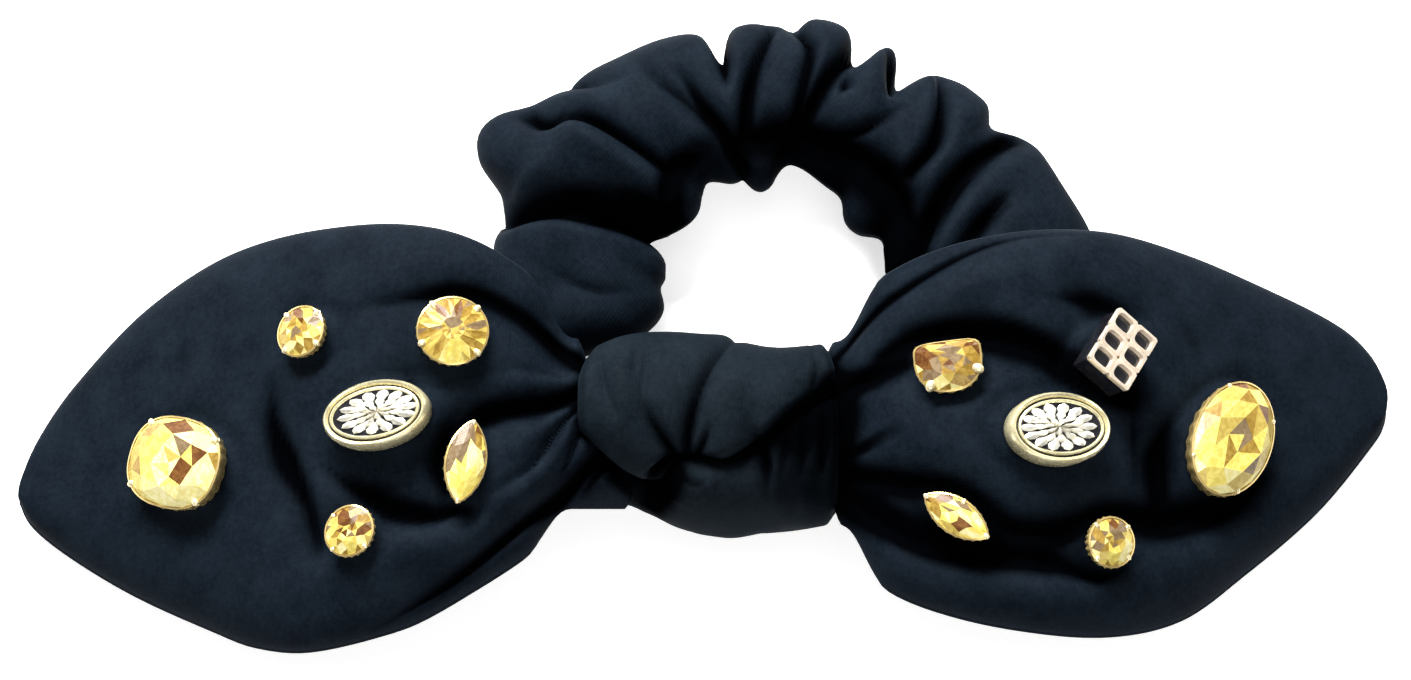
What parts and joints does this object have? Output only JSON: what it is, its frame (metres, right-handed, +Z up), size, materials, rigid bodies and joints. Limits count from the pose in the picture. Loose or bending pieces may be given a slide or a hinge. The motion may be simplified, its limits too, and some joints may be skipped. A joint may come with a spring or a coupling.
{
  "type": "cheer hair bow",
  "caption": "Pointed two-wing satin bow knotted round a ruched elastic hair ring, its wings set with claw-set glass stones, oval beads and a pierced charm.",
  "frame": {"origin": "on the surface the bow lies on, under the middle of the knot, at the flat face of the band behind the knot", "axes": "+X along the wings to the right-hand tip, +Y from the knot towards the hair ring, +Z up out of the front of the bow"},
  "size_m": [0.1788, 0.0868, 0.035],
  "materials": {
    "navy_satin": "soft satin knit",
    "navy_thread": "spun sewing thread",
    "black_elastic": "braided elastic",
    "champagne_glass": "faceted, foil backed",
    "gold_plate": "polished plate",
    "pale_gold": "polished pale plate",
    "rose_gold_plate": "polished rose plate",
    "black_enamel": "gloss enamel"
  },
  "bodies": {
    "knot": {"knot_front_wrap": "navy_satin", "knot_lower_tuck": "navy_satin", "knot_back_band": "navy_satin", "sash_core": "navy_satin"},
    "left_wing": {"left_wing_front_panel": "navy_satin", "left_wing_back_panel": "navy_satin", "left_wing_seam_thread": "navy_thread", "left_upper_round_setting": "gold_plate", "left_upper_round_stone": "champagne_glass", "left_neck_round_setting": "gold_plate", "left_neck_round_stone": "champagne_glass", "left_marquise_setting": "gold_plate", "left_marquise_stone": "champagne_glass", "left_cushion_setting": "gold_plate", "left_cushion_stone": "champagne_glass", "left_lower_round_setting": "gold_plate", "left_lower_round_stone": "champagne_glass", "left_emblem_body": "pale_gold", "left_emblem_field": "black_enamel", "left_emblem_flower": "pale_gold"},
    "right_wing": {"right_wing_front_panel": "navy_satin", "right_wing_back_panel": "navy_satin", "right_wing_seam_thread": "navy_thread", "right_half_moon_setting": "gold_plate", "right_half_moon_stone": "champagne_glass", "right_marquise_setting": "gold_plate", "right_marquise_stone": "champagne_glass", "right_lower_round_setting": "gold_plate", "right_lower_round_stone": "champagne_glass", "right_big_oval_setting": "gold_plate", "right_big_oval_stone": "champagne_glass", "right_emblem_body": "pale_gold", "right_emblem_field": "black_enamel", "right_emblem_flower": "pale_gold", "right_charm_block": "black_enamel", "right_charm_plate": "rose_gold_plate"},
    "ring_arms": {"sleeve_gathered_core": "navy_satin", "sleeve_left_arm": "navy_satin", "sleeve_right_arm": "navy_satin", "elastic_base": "black_elastic"},
    "ring_crown": {"sleeve_crown": "navy_satin", "elastic_crown": "black_elastic", "elastic_overlap": "black_elastic"}
  },
  "joints": [
    {"name": "left_wing_fold", "type": "hinge", "parent": "knot", "child": "left_wing", "pos_m": [-0.021, 0.0015, 0.0198], "axis": [0, 1, 0], "range_deg": [0, 60], "stiffness_Nm_per_rad": 0.012},
    {"name": "right_wing_fold", "type": "hinge", "parent": "knot", "child": "right_wing", "pos_m": [0.021, 0.0015, 0.0198], "axis": [0, -1, 0], "range_deg": [0, 60], "stiffness_Nm_per_rad": 0.012},
    {"name": "ring_tilt", "type": "hinge", "parent": "knot", "child": "ring_arms", "pos_m": [0, 0.0015, 0.0074], "axis": [-1, 0, 0], "range_deg": [0, 90]},
    {"name": "loop_stretch", "type": "slide", "parent": "ring_arms", "child": "ring_crown", "axis": [0, 1, 0], "range_m": [0, 0.045], "stiffness_N_per_m": 60}
  ]
}
